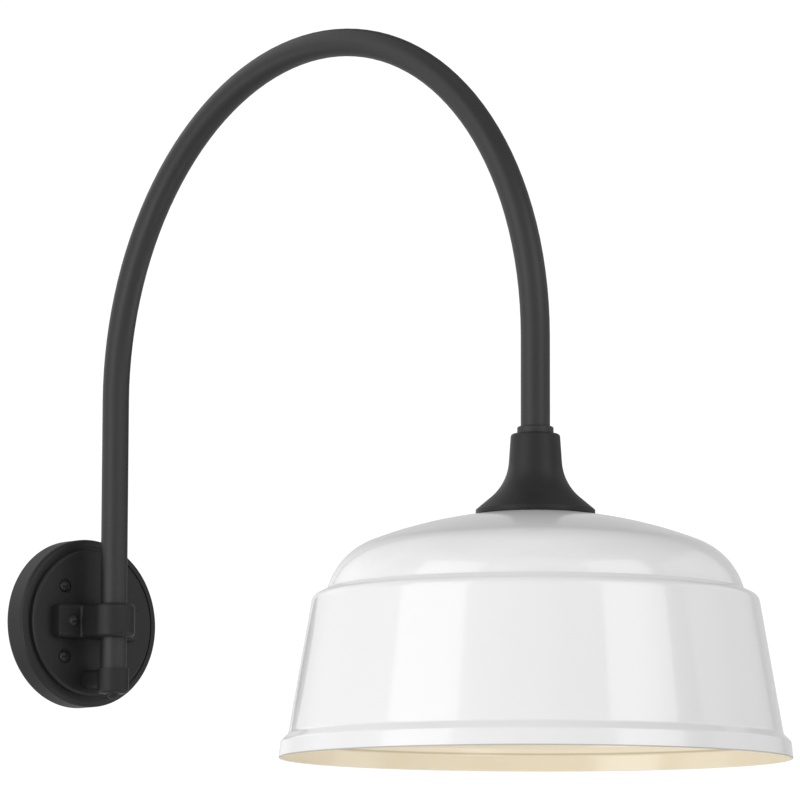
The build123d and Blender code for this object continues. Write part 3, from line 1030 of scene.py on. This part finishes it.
@dataclass
class Glow:
    """A soft patch of light far away, gone at its reach, all angles in degrees."""

    azimuth: float
    elevation: float
    reach: float
    strength: float
    core_share: float = 0.3

    def add(self, graph: Graph, towards: Socket) -> Socket:
        """Add the patch to the surroundings.

        Args:
            graph: The world's nodes.
            towards: The direction that is looked up.

        Returns:
            The patch's brightness in that direction.
        """
        inputs = {0: towards, 1: direction(self.azimuth, self.elevation)}
        nearness = graph.add("ShaderNodeVectorMath", {"operation": "DOT_PRODUCT"}, inputs, output="Value")
        end, core = math.radians(self.reach), math.radians(self.reach * self.core_share)
        return self.strength * graph.ease(nearness, math.cos(end), math.cos(core))


def glow_ring(elevation: float, reach: float, strength: float, *azimuths: float) -> tuple[Glow, ...]:
    """Like glows at one height round the object.

    Args:
        elevation: Degrees above the horizon.
        reach: Degrees from a glow's middle to its end.
        strength: Brightness of each.
        azimuths: Degrees round the object, one for each glow.

    Returns:
        The glows.
    """
    return tuple(Glow(azimuth, elevation, reach, strength) for azimuth in azimuths)


@dataclass
class Studio:
    """Pale floor, softboxes, cards low down, a fill from under the shade, and soft surroundings."""

    target: Vector = field(default_factory=lambda: Vector((0, -0.4, 0.05)))
    floor_z: float = -8.0
    floor_d: float = 270.0
    floor_segments: int = 96
    backdrop: float = 1.05
    # Name, azimuth, elevation, distance, width, height and radiance of each softbox
    softboxes: tuple[Softbox, ...] = (
        Softbox("left_softbox", -93.8, 25, 2.4, 1.51, 1.94, 1.1),
        Softbox("right_softbox", 9.7, 25, 2.4, 1.38, 1.94, 1.1),
        Softbox("side_softbox", 65, 10, 1.2, 1.3, 1.3, 0.45),
        low_card("far_left_card", -130, 1.1),
        low_card("left_card", -85, 3.1),
        low_card("front_card", -40, 0.4),
        low_card("right_front_card", 5, 0.5),
        low_card("right_card", 50, 1.2),
        Softbox("shade_fill", 20, -70, 1.8, 0.8, 0.8, 1.65),
    )
    # Elevation, reach and strength of each ring, then the azimuths of its glows
    glows: tuple[Glow, ...] = (
        *glow_ring(0, 42, 0.65, -175, -130, 140),
        *glow_ring(0, 42, 0.7, -85, 5),
        *glow_ring(0, 42, 0.5, -40),
        *glow_ring(35, 30, 0.8, -175),
        *glow_ring(35, 30, 0.65, -40, 5),
        *glow_ring(35, 30, 0.5, -130, -85),
        *glow_ring(35, 30, 0.3, 50, 95),
        *glow_ring(70, 30, 0.3, -130, -40, 50, 140),
    )

    def build(self) -> None:
        """Lay the floor, hang the lights and set the surroundings."""
        self._floor()
        for softbox in self.softboxes:
            softbox.build(self.target)
        self._surroundings()
        bpy.context.scene.view_settings.view_transform = "Standard"

    def _floor(self) -> None:
        """Lay a wide pale disc well below the light, as below a wall-hung lamp."""
        shape = bmesh.new()
        bmesh.ops.create_circle(
            shape,
            cap_ends=True,
            segments=self.floor_segments,
            radius=self.floor_d / 2,
            matrix=Matrix.Translation(UP * self.floor_z),
        )
        floor = piece("floor", shape, (PALE_FLOOR,))

    def _surroundings(self) -> None:
        """Set soft surroundings: the glows light the object, and plain white is seen behind it."""
        world = bpy.data.worlds.new("studio")
        bpy.context.scene.world = world
        world.use_nodes = True
        graph = Graph(world.node_tree)
        white = (*grey(1.0), 1.0)
        towards = graph.add("ShaderNodeTexCoord", output="Generated")
        first, *others = [glow.add(graph, towards) for glow in self.glows]
        light = graph.add("ShaderNodeBackground", inputs={"Color": white, "Strength": sum(others, first)})
        seen = graph.add("ShaderNodeBackground", inputs={"Color": white, "Strength": self.backdrop})
        camera_ray = graph.add("ShaderNodeLightPath", output="Is Camera Ray")
        mixed = graph.add("ShaderNodeMixShader", inputs={0: camera_ray, 1: light, 2: seen})
        graph.add("ShaderNodeOutputWorld", inputs={"Surface": mixed})


@dataclass
class PhotoCamera:
    """A long-lens camera, low and to the left of the light, its azimuth and elevation in degrees."""

    azimuth: float = -40.34
    elevation: float = -7.15
    roll: float = math.radians(0.16)
    target: Vector = field(default_factory=lambda: Vector((0.015, -0.3437, 0.1325)))
    distance: float = 3.3203
    lens: float = 221.5
    sensor: float = 36.0
    nearest: float = 0.05
    farthest: float = 200.0

    def build(self) -> bpy.types.Object:
        """Place the camera and make it the scene's.

        Returns:
            The camera.
        """
        data = bpy.data.cameras.new("photo_camera")
        data.lens = self.lens
        data.sensor_width = self.sensor
        data.clip_start = self.nearest
        data.clip_end = self.farthest
        made = bpy.data.objects.new("photo_camera", data)
        level = looking(self.target, self.azimuth, self.elevation, self.distance)
        made.matrix_world = level @ Matrix.Rotation(self.roll, 4, "Z")
        bpy.context.scene.collection.objects.link(made)
        bpy.context.scene.camera = made
        return made


def main() -> None:
    """Build the pieces in order and report each."""
    logging.basicConfig(level=logging.INFO, format="%(name)s: %(message)s")
    PhotoCamera().build()
    Studio().build()
    for part in (WallMount(), Gooseneck(), Shade(), LampHolder(), Bulb()):
        name = type(part).__name__
        part.dress()
        log.info("%s: %d nodes dressed", name, len(part.nodes))
        for made in part.build():
            log.info("%s: %s built with %d faces", name, made.name, len(made.data.polygons))


if __name__ == "__main__":
    main()
